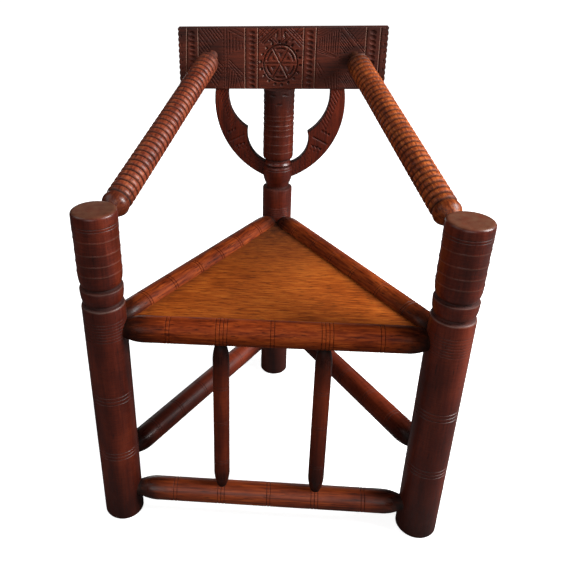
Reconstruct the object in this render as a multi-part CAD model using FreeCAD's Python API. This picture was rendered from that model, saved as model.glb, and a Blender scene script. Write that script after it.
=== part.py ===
import FreeCAD, Part
import math
import os

# A three-legged oak corner chair, made on the lathe.
# Two stout front posts and one rear post carry a triangular seat between
# three round rails. Two beaded arms climb from the front posts to a carved
# back board, which sits on the rear post between two curved braces.
# The real chair is a little crooked, so each post leans to its own side by
# less than a degree, and the back leans with the rear post.
# Units are millimetres. X is to the right in front view, Y runs from the
# front to the back, Z is up. The chair is built with its origin on the floor
# midway between the front feet. The last lines move the origin under the
# middle of the chair's outer box.

V = FreeCAD.Vector
LEFT = -1
RIGHT = 1
REAR = 0

# Stance: where the post axes meet the floor, and their lean in degrees
post_spacing = 533.3
rear_post_setback = 451.0
rear_post_shift = 3.2
post_lean = {LEFT: -0.41, RIGHT: 0.85, REAR: -0.49}

# Front posts, with the collar's top edge measured up from the rails' axes
front_shaft_radius = 34.9
front_collar_rise = 80.0
front_collar_height = 26.0
front_neck_radius = 31.2
front_head_height = 126.5
front_head_radius = 35.8
front_head_waist = 35.1
ridge_pitch = 19.2
top_ridge_drop = 39.5

# Rear post, up to the shoulder that the back board rests on
rear_shoulder_height = 681.3
rear_shaft_radius = 30.7
rear_collar_rise = 127.5
rear_collar_height = 33.0
rear_neck_height = 20.0
rear_neck_radius = 25.6

# Details that all posts share
foot_chamfer = 3.0
rim_round = 3.0
collar_foot_share = 0.87
groove_height = 4.5
shoulder_round = 3.0
head_rounding = 20.0
head_bulge = 1.2

# Seat rails and the seat panel
rail_height = 395.5
rail_radius = 22.0
rail_end_radius = 16.8
rail_taper = 30.0
seat_rise = 5.0
seat_thickness = 14.0
seat_groove_depth = 9.0
seat_joint_setback = 262.0
seat_corner_gap = 0.3

# Stretchers
front_stretcher_height = 55.2
front_stretcher_forward = 5.0
left_stretcher_height = 117.5
right_stretcher_height = 166.5
stretcher_radius = 21.0
stretcher_end_radius = 14.0
stretcher_taper = 32.0

# Spindles between the front stretcher and the front rail
spindle_offset = 83.0
spindle_radius = 13.8
spindle_end_radius = 8.8
spindle_taper = 34.0

# Tenons of the turned pieces
rail_tenon_radius = 12.0
rail_tenon_depth = 24.0
stretcher_tenon_radius = 11.0
stretcher_tenon_depth = 24.0
spindle_tenon_radius = 7.0
spindle_tenon_depth = 15.0
arm_tenon_radius = 10.0
arm_tenon_depth = 24.0
arm_neck_tenon_depth = 14.0
slip = 0.1

# Arms
arm_radius = 22.5
arm_end_radius = 21.5
arm_start_drop = 39.0
arm_end_rise = 66.2
arm_end_x = {LEFT: -133.2, RIGHT: 136.8}
bead_pitch = 12.0
bead_groove_width = 3.6
bead_groove_depth = 1.6
bulb_proud = 0.4
bulb_length = 18.0
bulb_tail = 16.2
neck_taper = 12.0
neck_radius = 11.0
least_neck_length = 12.0

# Back board
board_width = 401.6
board_height = 116.8
board_thickness = 25.0
board_shift = 2.9
board_corner_break = 1.5

# Flat tenon of the rear post in the board, and its pegs
post_tenon_width = 40.0
post_tenon_thickness = 10.0
post_tenon_height = 62.0
peg_radius = 4.0
peg_spacing = 22.0
peg_height = 30.0
peg_front_wall = 5.5

# Braces under the board, cut by hand and not quite alike
brace_thickness = 20.0
brace_outer_x = {LEFT: 126.6, RIGHT: 128.0}
brace_inner_x = {LEFT: 100.2, RIGHT: 99.7}
brace_cusp_x = {LEFT: 64.2, RIGHT: 61.0}
brace_cusp_drop = {LEFT: 80.7, RIGHT: 91.0}
brace_foot_drop = {LEFT: 190.5, RIGHT: 192.9}
brace_inner_foot_drop = {LEFT: 161.6, RIGHT: 163.5}
brace_outer_belly = {LEFT: 36.7, RIGHT: 39.8}
brace_upper_belly = {LEFT: 13.3, RIGHT: 14.0}
brace_lower_belly = {LEFT: 15.4, RIGHT: 16.8}
brace_inner_end = 10.0
brace_tenon_thickness = 10.0
brace_tenon_margin = 4.0
brace_tenon_height = 20.0
brace_peg_radius = 3.0
brace_peg_height = 10.0

# Derived heights
seat_top = rail_height + seat_rise
seat_bottom = seat_top - seat_thickness
front_collar_top = rail_height + front_collar_rise
front_post_height = front_collar_top + front_head_height
rear_collar_top = rail_height + rear_collar_rise
arm_start_height = front_post_height - arm_start_drop
arm_end_height = rear_shoulder_height + arm_end_rise


# Places on the leaning posts
def foot(side):
    if side == REAR:
        return V(rear_post_shift, rear_post_setback, 0)
    return V(side * post_spacing / 2, 0, 0)


def lean(side):
    return FreeCAD.Rotation(V(0, 1, 0), post_lean[side])


def stand(shape, side):
    """Set a shape that was made round the Z axis on a post's leaning axis."""
    placed = shape.copy()
    placed.Placement = FreeCAD.Placement(foot(side), lean(side)).multiply(shape.Placement)
    return placed


def on_post(side, height):
    """The point of a post's axis at a height above the floor."""
    axis = lean(side).multVec(V(0, 0, 1))
    return foot(side) + axis * (height / axis.z)


class Outline:
    """Half of a turned profile, drawn as radius and height from the axis."""

    def __init__(self, height):
        self.here = V(0, 0, height)
        self.edges = []

    def line(self, radius, height):
        there = V(radius, 0, height)
        self.edges.append(Part.makeLine(self.here, there))
        self.here = there

    def arc(self, mid_radius, mid_height, radius, height):
        there = V(radius, 0, height)
        middle = V(mid_radius, 0, mid_height)
        self.edges.append(Part.Arc(self.here, middle, there).toShape())
        self.here = there

    def bulge(self, radius, height, amount):
        """A shallow arc to the next point, pushed outwards by an amount."""
        chord = V(radius, 0, height) - self.here
        out = V(chord.z, 0, -chord.x).normalize() * amount
        middle = (V(radius, 0, height) + self.here) * 0.5 + out
        self.arc(middle.x, middle.z, radius, height)

    def turned(self):
        start = self.edges[0].firstVertex().Point
        self.line(0, self.here.z)
        if (self.here - start).Length > 0:
            self.edges.append(Part.makeLine(self.here, start))
        face = Part.Face(Part.Wire(self.edges))
        return face.revolve(V(0, 0, 0), V(0, 0, 1), 360)


def place_along(shape, start, end):
    """Turn a shape made up the Z axis so that it runs from start to end."""
    turn = FreeCAD.Rotation(V(0, 0, 1), end - start)
    placed = shape.copy()
    placed.Placement = FreeCAD.Placement(start, turn).multiply(shape.Placement)
    return placed


class Bar:
    """A turned bar between the axes of two members, with round tenons.

    The bar's body runs from near to far, measured from its start. Its
    tenons go on into sockets of the members, down to their floors.
    """

    def __init__(self, start, end, near, far, tenon_radius, near_depth, far_depth):
        self.start = start
        self.end = end
        self.length = (end - start).Length
        self.near = near
        self.far = self.length - far
        self.tenon_radius = tenon_radius
        self.near_floor = self.near - near_depth
        self.far_floor = self.far + far_depth

    def outline(self):
        half = Outline(self.near_floor)
        half.line(self.tenon_radius, self.near_floor)
        half.line(self.tenon_radius, self.near)
        return half

    def finish(self, half):
        half.line(self.tenon_radius, self.far)
        half.line(self.tenon_radius, self.far_floor)
        return place_along(half.turned(), self.start, self.end)

    def plain(self, radius, end_radius, taper):
        """A cylinder with a rounded taper at both ends."""
        swell = 0.14 * (radius - end_radius) + 0.8
        half = self.outline()
        half.line(end_radius, self.near)
        half.bulge(radius, self.near + taper, swell)
        half.line(radius, self.far - taper)
        half.bulge(end_radius, self.far, swell)
        return self.finish(half)

    def near_socket(self):
        """The hole for the near tenon, open beyond the member's surface."""
        depth = self.near - self.near_floor
        drill = Part.makeCylinder(self.tenon_radius + slip, depth + rail_radius)
        drill.translate(V(0, 0, self.near_floor))
        return place_along(drill, self.start, self.end)

    def far_socket(self):
        depth = self.far_floor - self.far
        drill = Part.makeCylinder(self.tenon_radius + slip, depth + rail_radius)
        drill.translate(V(0, 0, self.far - rail_radius))
        return place_along(drill, self.start, self.end)


# Bars: rails, stretchers, spindles and arms
def clear_of_post(side, post_radius, bar_radius, course):
    """How far from the post's axis a bar's flat end clears the post."""
    slant = abs(lean(side).multVec(V(0, 0, 1)).dot(course)) / course.Length
    return (post_radius + bar_radius * slant) / math.sqrt(1 - slant ** 2)


def post_bar(side_from, side_to, height, forward, end_radius, tenon_radius, tenon_depth):
    start = on_post(side_from, height) - V(0, forward, 0)
    end = on_post(side_to, height) - V(0, forward, 0)
    clear = []
    for side in (side_from, side_to):
        radius = rear_shaft_radius if side == REAR else front_shaft_radius
        clear.append(clear_of_post(side, radius, end_radius, end - start))
    return Bar(start, end, clear[0], clear[1], tenon_radius, tenon_depth, tenon_depth)


def rail_bar(side_from, side_to):
    return post_bar(side_from, side_to, rail_height, 0,
                    rail_end_radius, rail_tenon_radius, rail_tenon_depth)


def stretcher_bar(side_from, side_to, height, forward):
    return post_bar(side_from, side_to, height, forward,
                    stretcher_end_radius, stretcher_tenon_radius, stretcher_tenon_depth)


front_rail = rail_bar(LEFT, RIGHT)
left_rail = rail_bar(LEFT, REAR)
right_rail = rail_bar(RIGHT, REAR)
front_stretcher = stretcher_bar(LEFT, RIGHT, front_stretcher_height, front_stretcher_forward)
left_stretcher = stretcher_bar(LEFT, REAR, left_stretcher_height, 0)
right_stretcher = stretcher_bar(RIGHT, REAR, right_stretcher_height, 0)


def spindle_bar(side):
    low = V(side * spindle_offset, -front_stretcher_forward, front_stretcher_height)
    high = V(side * spindle_offset, 0, rail_height)
    return Bar(low, high, stretcher_radius, rail_radius,
               spindle_tenon_radius, spindle_tenon_depth, spindle_tenon_depth)


spindles = {side: spindle_bar(side) for side in (LEFT, RIGHT)}


def arm_bar(side):
    """An arm climbs inwards from the post's head to the board's face."""
    start = on_post(side, arm_start_height)
    board_face = rear_post_setback - board_thickness / 2
    end = V(arm_end_x[side], board_face, arm_end_height)
    course = end - start
    near = clear_of_post(side, front_head_radius, arm_tenon_radius, course) + slip
    face_cos = course.y / course.Length
    face_sin = math.sqrt(1 - face_cos ** 2)
    far = neck_radius * face_sin / face_cos + slip
    return Bar(start, end, near, far, arm_tenon_radius, arm_tenon_depth, arm_neck_tenon_depth)


arms = {side: arm_bar(side) for side in (LEFT, RIGHT)}


def front_head_blank(side):
    """The head's outer cylinder with slip, to fit the arm's end round it."""
    return stand(Part.makeCylinder(front_head_radius + slip, front_post_height), side)


def make_arm(side):
    """Bulb, beads between V grooves, taper and slim neck.

    The beads keep their pitch, and their number follows the arm's length.
    They shrink a little towards the board.
    """
    arm = arms[side]
    half = arm.outline()
    bulb_radius = arm_radius + bulb_proud
    bulb_full = arm.near + bulb_length
    half.arc(arm_tenon_radius + 0.55 * (bulb_radius - arm_tenon_radius),
             arm.near + 0.3 * bulb_length, bulb_radius, bulb_full)
    groove = bulb_full + bulb_tail
    beads_length = arm.far - least_neck_length - neck_taper - groove
    bead_count = int(beads_length / bead_pitch)
    radius = arm_radius
    for _ in range(bead_count):
        half.line(radius, groove - bead_groove_width / 2)
        half.line(radius - bead_groove_depth, groove)
        half.line(radius, groove + bead_groove_width / 2)
        groove += bead_pitch
        radius -= (arm_radius - arm_end_radius) / bead_count
    half.line(radius, groove - bead_groove_width / 2)
    half.line(neck_radius, groove + neck_taper)
    half.line(neck_radius, arm.far)
    solid = arm.finish(half)
    head = front_head_blank(side)
    body = solid.cut(head)
    tenon = solid.common(head).common(arm.near_socket())
    return body.fuse(tenon).removeSplitter()


# Posts
def below_floor():
    """What is sawn off a leaning post so that it stands flat."""
    size = 4 * front_shaft_radius
    return Part.makeBox(size, size, size, V(-size / 2, -size / 2, -size))


def post_foot(radius):
    half = Outline(-foot_chamfer)
    half.line(radius - foot_chamfer, -foot_chamfer)
    half.line(radius - foot_chamfer, 0)
    half.line(radius, foot_chamfer)
    return half


def post_collar(half, top, height, radius, neck_radius_here):
    """Shaft shoulder, groove, flared collar and neck, drawn upwards."""
    collar_foot = top - height
    groove = collar_foot - groove_height
    half.line(radius, groove - shoulder_round)
    half.line(radius - 0.5 * shoulder_round, groove)
    half.line(collar_foot_share * radius - 1.0, groove)
    half.line(collar_foot_share * radius, collar_foot)
    half.bulge(radius, top - 0.35 * height, 0.6)
    half.line(radius, top)
    half.line(neck_radius_here, top)


def sawn_and_drilled(post, side, sockets):
    below = below_floor()
    below.translate(foot(side))
    post = post.cut(below)
    for socket in sockets:
        post = post.cut(socket)
    return post


def front_post_blank():
    half = post_foot(front_shaft_radius)
    post_collar(half, front_collar_top, front_collar_height, front_shaft_radius, front_neck_radius)
    half.bulge(front_head_waist, front_collar_top + head_rounding, head_bulge)
    ridge_count = 1 + int((front_head_height - top_ridge_drop - head_rounding) / ridge_pitch)
    ridge = front_post_height - top_ridge_drop - (ridge_count - 1) * ridge_pitch
    for _ in range(ridge_count):
        half.line(front_head_radius, ridge)
        half.line(front_head_waist, ridge + ridge_pitch / 2)
        ridge += ridge_pitch
    half.line(front_head_radius, front_post_height - rim_round)
    half.line(front_head_radius - rim_round, front_post_height)
    return half.turned()


def make_front_post(side):
    post = stand(front_post_blank(), side)
    if side == LEFT:
        sockets = [front_rail.near_socket(), front_stretcher.near_socket(),
                   left_rail.near_socket(), left_stretcher.near_socket()]
    else:
        sockets = [front_rail.far_socket(), front_stretcher.far_socket(),
                   right_rail.near_socket(), right_stretcher.near_socket()]
    return sawn_and_drilled(post, side, sockets + [arms[side].near_socket()])


def post_tenon(gap):
    """The flat tenon on the rear post, or its mortise when gap is not 0."""
    width = post_tenon_width + 2 * gap
    thickness = post_tenon_thickness + 2 * gap
    height = post_tenon_height + 10 * gap
    corner = V(-width / 2, -thickness / 2, rear_shoulder_height)
    return Part.makeBox(width, thickness, height, corner)


def rear_post_blank():
    half = post_foot(rear_shaft_radius)
    post_collar(half, rear_collar_top, rear_collar_height, rear_shaft_radius, rear_neck_radius)
    neck_top = rear_collar_top + rear_neck_height
    half.line(rear_neck_radius, neck_top)
    half.line(rear_shaft_radius - shoulder_round, neck_top)
    half.line(rear_shaft_radius, neck_top + shoulder_round)
    half.line(rear_shaft_radius, rear_shoulder_height)
    return half.turned()


def make_rear_post():
    post = rear_post_blank().fuse(post_tenon(0)).removeSplitter()
    for side in (LEFT, RIGHT):
        post = post.cut(brace_blade(side, slip))
    for hole in board_pegs(slip):
        post = post.cut(hole)
    sockets = [bar.far_socket() for bar in (left_rail, right_rail, left_stretcher, right_stretcher)]
    return sawn_and_drilled(stand(post, REAR), REAR, sockets)


# Seat
def seat_triangle(inset):
    """The triangle between the rails' axes, drawn in by an inset, on Z 0."""
    marks = [on_post(side, rail_height) for side in (LEFT, RIGHT, REAR)]
    corners = []
    for here, one, other in ((0, 1, 2), (1, 2, 0), (2, 0, 1)):
        first = (marks[one] - marks[here]).normalize()
        second = (marks[other] - marks[here]).normalize()
        corner = marks[here] + (first + second) * (inset / first.cross(second).Length)
        corners.append(V(corner.x, corner.y, 0))
    return Part.Face(Part.makePolygon(corners + corners[:1]))


def seat_panel():
    panel = seat_triangle(rail_radius - seat_groove_depth).extrude(V(0, 0, seat_thickness))
    panel.translate(V(0, 0, seat_bottom))
    for side in (LEFT, REAR, RIGHT):
        radius = rear_shaft_radius if side == REAR else front_shaft_radius
        clearance = Part.makeCylinder(radius + seat_corner_gap, rear_shoulder_height)
        panel = panel.cut(stand(clearance, side))
    return panel


def seat_board(front):
    """The panel is two boards, edge to edge, with the grain across the chair."""
    low = 0 if front else seat_joint_setback
    high = seat_joint_setback if front else rear_post_setback
    corner = V(-post_spacing, low, 0)
    return seat_panel().common(Part.makeBox(2 * post_spacing, high - low, rear_shoulder_height, corner))


def seat_groove():
    """What the rails lose for the panel: its edge, with slip all round."""
    inset = rail_radius - seat_groove_depth - slip
    groove = seat_triangle(inset).extrude(V(0, 0, seat_thickness + slip))
    groove.translate(V(0, 0, seat_bottom))
    return groove


def make_rail(bar, coped_by):
    """A seat rail, grooved for the panel. Its tenons stop at earlier ones."""
    rail = bar.plain(rail_radius, rail_end_radius, rail_taper)
    rail = rail.cut(seat_groove())
    for socket in coped_by:
        rail = rail.cut(socket)
    return rail


def make_front_rail():
    rail = make_rail(front_rail, [])
    for side in (LEFT, RIGHT):
        rail = rail.cut(spindles[side].far_socket())
    return rail


def make_stretcher(bar):
    return bar.plain(stretcher_radius, stretcher_end_radius, stretcher_taper)


def make_front_stretcher():
    stretcher = make_stretcher(front_stretcher)
    for side in (LEFT, RIGHT):
        stretcher = stretcher.cut(spindles[side].near_socket())
    return stretcher


def make_spindle(side):
    return spindles[side].plain(spindle_radius, spindle_end_radius, spindle_taper)


# Braces, drawn on the X-Z plane through the rear post's axis
def belly_arc(start, end, belly):
    """An arc that stands off its chord, to the left of the way it runs."""
    chord = end - start
    out = V(-chord.z, 0, chord.x).normalize() * belly
    return Part.Arc(start, (start + end) * 0.5 + out, end).toShape()


def brace_outline(side):
    """The crescent's face, drawn for the right side.

    Going round: down the outer arc to the rear post, up its end inside the
    post, out along the lower inner arc to the cusp, and up to the board.
    """
    top = rear_shoulder_height
    start = V(brace_outer_x[side], 0, top)
    low = V(brace_inner_end, 0, top - brace_foot_drop[side])
    inner_low = V(brace_inner_end, 0, top - brace_inner_foot_drop[side])
    cusp = V(brace_cusp_x[side], 0, top - brace_cusp_drop[side])
    inner_start = V(brace_inner_x[side], 0, top)
    edges = [belly_arc(start, low, brace_outer_belly[side]),
             Part.makeLine(low, inner_low),
             belly_arc(inner_low, cusp, -brace_lower_belly[side]),
             belly_arc(cusp, inner_start, -brace_upper_belly[side]),
             Part.makeLine(inner_start, start)]
    return Part.Face(Part.Wire(edges))


def brace_blade(side, gap):
    """The flat brace without its top tenon, larger by a gap for the mortise."""
    outline = brace_outline(side)
    if gap > 0:
        outline = outline.makeOffset2D(gap, 2)
    thickness = brace_thickness + 2 * gap
    blade = outline.extrude(V(0, thickness, 0))
    blade.translate(V(0, -thickness / 2, 0))
    if side == LEFT:
        blade = blade.mirror(V(0, 0, 0), V(1, 0, 0))
    return blade


def brace_middle(side):
    """The middle of the brace's flat top."""
    return side * (brace_outer_x[side] + brace_inner_x[side]) / 2


def brace_tenon(side, gap):
    width = brace_outer_x[side] - brace_inner_x[side] - 2 * brace_tenon_margin + 2 * gap
    thickness = brace_tenon_thickness + 2 * gap
    corner = V(brace_middle(side) - width / 2, -thickness / 2, rear_shoulder_height)
    return Part.makeBox(width, thickness, brace_tenon_height + 10 * gap, corner)


def make_brace(side):
    """A brace ends in the post's mortise, so it keeps its full thickness."""
    brace = brace_blade(side, 0).fuse(brace_tenon(side, 0)).removeSplitter()
    for hole in brace_pegs(slip):
        brace = brace.cut(hole)
    return stand(brace, REAR)


# Pegs, driven in from the back of the board
def back_peg(x, height, radius, gap):
    length = board_thickness - peg_front_wall
    start = V(x, board_thickness / 2 - length, height)
    return Part.makeCylinder(radius + gap, length, start, V(0, 1, 0))


def board_pegs(gap):
    height = rear_shoulder_height + peg_height
    return [back_peg(side * peg_spacing / 2, height, peg_radius, gap) for side in (LEFT, RIGHT)]


def brace_pegs(gap):
    height = rear_shoulder_height + brace_peg_height
    return [back_peg(brace_middle(side), height, brace_peg_radius, gap) for side in (LEFT, RIGHT)]


def make_board():
    corner = V(board_shift - board_width / 2, -board_thickness / 2, rear_shoulder_height)
    board = Part.makeBox(board_width, board_thickness, board_height, corner)
    long_edges = [edge for edge in board.Edges if abs(edge.tangentAt(0).x) > 0.99
                  and edge.BoundBox.ZMin > rear_shoulder_height + 1]
    board = board.makeChamfer(board_corner_break, long_edges)
    board = board.cut(post_tenon(slip))
    for side in (LEFT, RIGHT):
        board = board.cut(brace_tenon(side, slip))
    for hole in board_pegs(slip) + brace_pegs(slip):
        board = board.cut(hole)
    board = stand(board, REAR)
    for side in (LEFT, RIGHT):
        board = board.cut(arms[side].far_socket())
    return board


nodes = {
    "front_left_post": make_front_post(LEFT),
    "front_right_post": make_front_post(RIGHT),
    "rear_post": make_rear_post(),
    "front_seat_rail": make_front_rail(),
    "left_seat_rail": make_rail(left_rail, [front_rail.near_socket()]),
    "right_seat_rail": make_rail(right_rail, [front_rail.far_socket(), left_rail.far_socket()]),
    "front_seat_board": seat_board(True),
    "rear_seat_board": seat_board(False),
    "front_stretcher": make_front_stretcher(),
    "left_stretcher": make_stretcher(left_stretcher),
    "right_stretcher": make_stretcher(right_stretcher),
    "left_spindle": make_spindle(LEFT),
    "right_spindle": make_spindle(RIGHT),
    "left_arm": make_arm(LEFT),
    "right_arm": make_arm(RIGHT),
    "back_board": make_board(),
    "left_brace": make_brace(LEFT),
    "right_brace": make_brace(RIGHT),
    "board_pegs": stand(Part.makeCompound(board_pegs(0)), REAR),
    "brace_pegs": stand(Part.makeCompound(brace_pegs(0)), REAR),
}

# The outer box is ruled by the front heads, the rear post and the board
box = Part.makeCompound(list(nodes.values())).optimalBoundingBox(False)
origin = V(box.Center.x, box.Center.y, 0)
print("outer box", round(box.XLength, 2), round(box.YLength, 2), round(box.ZMax, 2),
      "origin moved by", round(origin.x, 3), round(origin.y, 3), "from", round(box.ZMin, 3))

os.makedirs("parts", exist_ok=True)
for name, shape in nodes.items():
    shape.translate(-origin)
    shape.exportStep("parts/" + name + ".step")
    print(name, len(shape.Solids), "solid(s)", round(shape.Volume / 1000.0, 1), "cm3", shape.isValid())
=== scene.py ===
"""The looks of a turned and carved oak corner chair, built around its CAD frame.

Sizes are in millimetres in the same axes as the CAD model: X to the right in
the front view, Y towards the back board, Z up from the floor. They become
metres when a mesh is made. Distances in materials and the places of lights
are in metres. Every turned piece is a profile spun on its axis, and every
flat carved piece is a sheet of points pushed in by its carving.
"""
import math

import bpy
import numpy as np
from mathutils import Matrix, Vector


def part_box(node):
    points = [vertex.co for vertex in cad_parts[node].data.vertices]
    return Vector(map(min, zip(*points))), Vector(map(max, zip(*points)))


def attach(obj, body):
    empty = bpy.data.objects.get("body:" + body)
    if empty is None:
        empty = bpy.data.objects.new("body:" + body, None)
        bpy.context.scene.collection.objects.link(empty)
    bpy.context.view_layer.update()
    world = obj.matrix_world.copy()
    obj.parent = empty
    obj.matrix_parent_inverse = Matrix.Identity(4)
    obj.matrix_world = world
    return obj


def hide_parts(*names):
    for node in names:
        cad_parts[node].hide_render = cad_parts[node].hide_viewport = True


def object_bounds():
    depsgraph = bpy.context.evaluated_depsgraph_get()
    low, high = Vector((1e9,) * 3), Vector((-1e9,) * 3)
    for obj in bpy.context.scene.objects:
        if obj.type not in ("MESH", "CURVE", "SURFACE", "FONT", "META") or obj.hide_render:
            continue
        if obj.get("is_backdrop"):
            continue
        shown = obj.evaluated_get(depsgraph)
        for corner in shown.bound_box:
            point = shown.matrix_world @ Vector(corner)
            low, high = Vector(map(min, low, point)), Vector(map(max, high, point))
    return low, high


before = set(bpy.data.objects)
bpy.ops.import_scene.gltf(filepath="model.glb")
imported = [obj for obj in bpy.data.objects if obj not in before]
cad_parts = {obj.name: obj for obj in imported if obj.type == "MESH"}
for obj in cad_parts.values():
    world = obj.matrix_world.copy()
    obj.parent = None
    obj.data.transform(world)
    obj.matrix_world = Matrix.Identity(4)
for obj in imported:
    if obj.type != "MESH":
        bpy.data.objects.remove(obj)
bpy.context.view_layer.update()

MM = 0.001
LEFT = -1
RIGHT = 1
REAR = 0

# Stance: where the post axes meet the floor, and how they lean sideways
FEET = {
    LEFT: Vector((-268.95, -222.95, 0)),
    RIGHT: Vector((264.35, -222.95, 0)),
    REAR: Vector((0.9, 228.05, 0)),
}
LEAN = {LEFT: math.radians(-0.41), RIGHT: math.radians(0.85), REAR: math.radians(-0.49)}


def on_post(side, height):
    """The point of a post's axis at a height above the floor."""
    return FEET[side] + height * Vector((math.tan(LEAN[side]), 0, 1))


# Places taken from the frame
def node_box(node):
    low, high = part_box(node)
    return low / MM, high / MM


def node_centre(node):
    low, high = node_box(node)
    return (low + high) / 2


RAIL_HEIGHT = node_centre("front_seat_rail").z
BOARD_FACE = node_box("back_board")[0].y

# Meshes
SHARP_DEGREES = 35


def finish_piece(name, mesh, material, node):
    """Makes a mesh a piece that stands for a CAD node."""
    mesh.validate()
    mesh.shade_smooth()
    mesh.set_sharp_from_angle(angle=math.radians(SHARP_DEGREES))
    mesh.materials.append(material)
    piece = bpy.data.objects.new(name, mesh)
    bpy.context.scene.collection.objects.link(piece)
    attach(piece, "root")
    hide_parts(node)


def set_attributes(mesh, grain, grime_and_shade, wear_and_highlight, polish):
    """Each point in its timber's own axes; grime with painted shade, pale edges with painted highlights
    and polish from 0 to 1.
    """
    for name, values in (("grime_and_shade", grime_and_shade), ("wear_and_highlight", wear_and_highlight), ("polish", polish)):
        layer = mesh.attributes.new(name, "FLOAT", "POINT")
        layer.data.foreach_set("value", np.ascontiguousarray(values, dtype=np.float32).ravel())
    layer = mesh.attributes.new("grain", "FLOAT_VECTOR", "POINT")
    layer.data.foreach_set("vector", np.ascontiguousarray(grain, dtype=np.float32).ravel())


def quads_between(rows, columns, closed):
    """Corner numbers of the quads of a grid of rows and columns."""
    last = columns if closed else columns - 1
    row = np.arange(rows - 1)[:, None]
    column = np.arange(last)[None, :]
    following = (column + 1) % columns
    corners = np.stack([row * columns + column, row * columns + following,
                        (row + 1) * columns + following, (row + 1) * columns + column], axis=-1)
    return corners.reshape(-1, 4)


def build_mesh(name, points, quads, rims):
    """A mesh from points, an array of quads and a few many-sided faces."""
    mesh = bpy.data.meshes.new(name)
    sizes = [4] * len(quads) + [len(rim) for rim in rims]
    corners = np.concatenate([np.asarray(quads).ravel()] + [np.asarray(rim) for rim in rims])
    starts = np.concatenate([[0], np.cumsum(sizes)[:-1]])
    mesh.vertices.add(len(points))
    mesh.vertices.foreach_set("co", np.ascontiguousarray(points, dtype=np.float32).ravel())
    mesh.loops.add(len(corners))
    mesh.loops.foreach_set("vertex_index", corners.astype(np.int32))
    mesh.polygons.add(len(sizes))
    mesh.polygons.foreach_set("loop_start", starts.astype(np.int32))
    mesh.update(calc_edges=True)
    return mesh


# Turned work
SIDES = 72
CUT_STEPS = (-1.5, -1, -0.5, 0, 0.5, 1, 1.5)
LINE_DIRT = 0.85
DIRT_PER_SLOPE = 1.6
RING_WEAR_AND_HIGHLIGHT = 0.09
DIRT_FADE = 1.2
POLISH_FADE = 1.6
TURNED_GRAIN_SHIFT = np.array([1.0, 0.37, 1.7])


def swell(height, radius, to_height, to_radius, amount, steps=6):
    """Points of a shallow arc between two points of an outline."""
    points = []
    for step in range(1, steps + 1):
        share = step / steps
        bow = 4 * amount * share * (1 - share)
        swollen = radius + share * (to_radius - radius) + bow
        points.append((height + share * (to_height - height), swollen))
    return points


def nearness(heights, centre, half):
    """1 at a centre, falling evenly to 0 at a half width from it."""
    return np.clip(1 - np.abs(heights - centre) / half, 0, 1)


def spun(outline, cuts):
    """Heights, radii, grime and pale bands of a profile with its turned lines cut in.

    outline is a list of (height, radius). cuts is a list of (height, half
    width, depth), where a depth below zero is a raised ring.
    """
    heights = {height for height, radius in outline}
    for centre, half, depth in cuts:
        heights.update(centre + step * half for step in CUT_STEPS)
    low = outline[0][0]
    high = outline[-1][0]
    heights = np.array(sorted(height for height in heights if low <= height <= high))
    radii = np.interp(heights, [point[0] for point in outline], [point[1] for point in outline])
    grime_and_shade = np.zeros(len(heights))
    wear_and_highlight = np.zeros(len(heights))
    for centre, half, depth in cuts:
        near = nearness(heights, centre, half)
        radii -= depth * near
        if depth > 0:
            grime_and_shade = np.maximum(grime_and_shade, LINE_DIRT * near * min(1, DIRT_PER_SLOPE * depth / half))
        else:
            # A raised ring gets a pale band: an edge polished by use, with a painted highlight
            wear_and_highlight = np.maximum(wear_and_highlight, RING_WEAR_AND_HIGHLIGHT * near ** 2)
    return heights, radii, grime_and_shade, wear_and_highlight


def turned(node, start, end, outline, cuts, grime_and_shade_bands, material, seed, worn_and_highlighted=(), polished=(),
           shape=None, sides=SIDES):
    """A piece spun on the axis from start to end.

    The list after the cuts gives (height, half width, strength) of soft grime round a joint and of painted
    shade.
    The list after the seed gives the same for pale edges with painted highlights, and polished for
    places that hands have made dark and shiny. seed moves the grain, and
    shape changes the radii and the darkening round the axis.
    """
    heights, radii, grime_and_shade, wear_and_highlight = spun(outline, cuts)
    axis = (end - start).normalized()
    turn = np.array(Vector((0, 0, 1)).rotation_difference(axis).to_matrix())
    angles = np.linspace(0, 2 * math.pi, sides, endpoint=False)
    for centre, half, strength in grime_and_shade_bands:
        grime_and_shade = np.maximum(grime_and_shade, strength * nearness(heights, centre, half) ** DIRT_FADE)
    for centre, half, strength in worn_and_highlighted:
        wear_and_highlight = np.maximum(wear_and_highlight, strength * nearness(heights, centre, half))
    polish = np.zeros(len(heights))
    for centre, half, strength in polished:
        near = np.clip(POLISH_FADE - POLISH_FADE * np.abs(heights - centre) / half, 0, 1)
        polish = np.maximum(polish, strength * near)
    grime_and_shade = np.repeat(grime_and_shade[:, None], sides, axis=1)
    radii = np.repeat(radii[:, None], sides, axis=1)
    if shape:
        radii, grime_and_shade = shape(heights[:, None], radii, angles[None, :], grime_and_shade)
    rings = np.zeros((len(heights), sides, 3))
    rings[..., 0] = radii * np.cos(angles)
    rings[..., 1] = radii * np.sin(angles)
    rings[..., 2] = heights[:, None]
    points = rings.reshape(-1, 3)
    grain = points * MM + seed * TURNED_GRAIN_SHIFT
    placed = points @ turn.T + np.array(start)
    placed[:, 2] = np.maximum(placed[:, 2], 0)
    bottom = list(range(sides))[::-1]
    top = [(len(heights) - 1) * sides + side for side in range(sides)]
    name = node + "_turned"
    mesh = build_mesh(name, placed * MM, quads_between(len(heights), sides, True), [bottom, top])
    set_attributes(mesh, grain, grime_and_shade, np.repeat(wear_and_highlight, sides), np.repeat(polish, sides))
    finish_piece(name, mesh, material, node)


def line_group(centre, count, pitch, half=0.9, depth=0.9):
    """Cuts for a few lines turned side by side."""
    first = centre - pitch * (count - 1) / 2
    return [(first + pitch * index, half, depth) for index in range(count)]


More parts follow.
